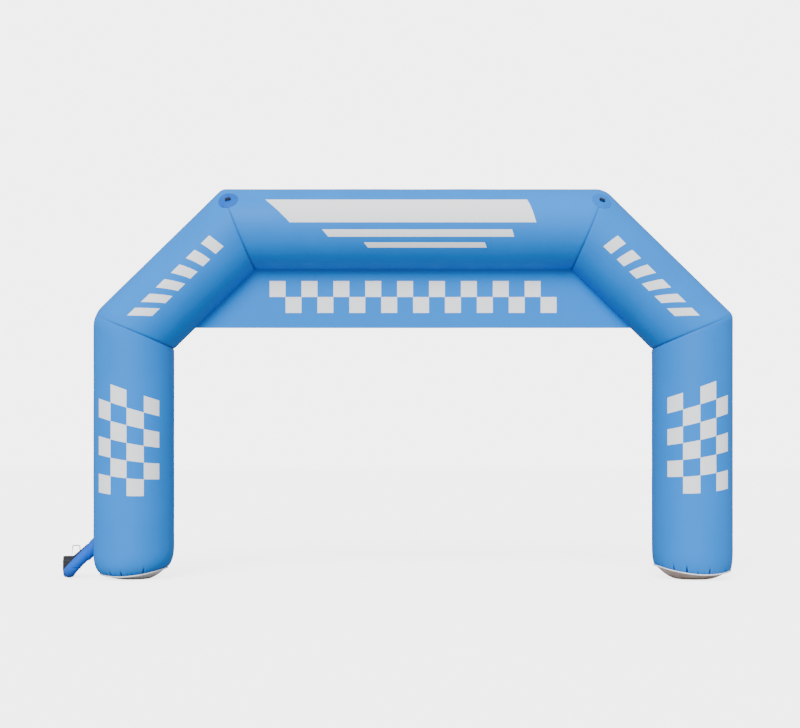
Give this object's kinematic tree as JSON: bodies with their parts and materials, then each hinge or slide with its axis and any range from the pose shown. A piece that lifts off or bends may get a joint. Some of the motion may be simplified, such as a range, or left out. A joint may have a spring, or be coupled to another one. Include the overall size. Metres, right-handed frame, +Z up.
{
  "type": "inflatable race arch",
  "caption": "Air-filled arch of round cloth tubes with angled shoulders, standing on gathered feet, with a flat banner under its beam and a blower on a sleeve.",
  "frame": {"origin": "on the ground at the middle of the whole part, blower included; the arch's own middle plane is at x = 0.247 m", "axes": "+X to the right along the beam, -Y out of the front, +Z up"},
  "size_m": [8.4936, 1, 4.875],
  "materials": {
    "cloth": "coated, semi-gloss",
    "banner_cloth": "coated, matt",
    "base_cloth": "coated, soiled",
    "welt_cloth": "coated",
    "patch_cloth": "coated",
    "webbing": "woven webbing",
    "steel": "blackened, satin",
    "black_plastic": "fine grain",
    "grey_plastic": "fine grain",
    "guard_wire": "satin",
    "rubber": "matt"
  },
  "bodies": {
    "root": {"leg_left": "cloth", "leg_right": "cloth", "slope_left": "cloth", "slope_right": "cloth", "beam": "cloth", "base_left": "base_cloth", "base_right": "base_cloth", "welt_left": "welt_cloth", "welt_right": "welt_cloth", "banner": "banner_cloth", "tether_patch_left": "patch_cloth", "tether_patch_right": "patch_cloth", "tether_tab_left": "webbing", "tether_tab_right": "webbing", "tether_ring_left": "steel", "tether_ring_right": "steel", "air_sleeve": "cloth", "sleeve_flap": "webbing", "sleeve_strap": "webbing", "blower_housing": "black_plastic", "blower_guard": "guard_wire", "blower_motor": "black_plastic", "blower_stand": "black_plastic", "blower_handle": "grey_plastic", "blower_gland": "rubber", "blower_foot_front_left": "rubber", "blower_foot_front_right": "rubber", "blower_foot_back_left": "rubber", "blower_foot_back_right": "rubber"}
  },
  "joints": []
}
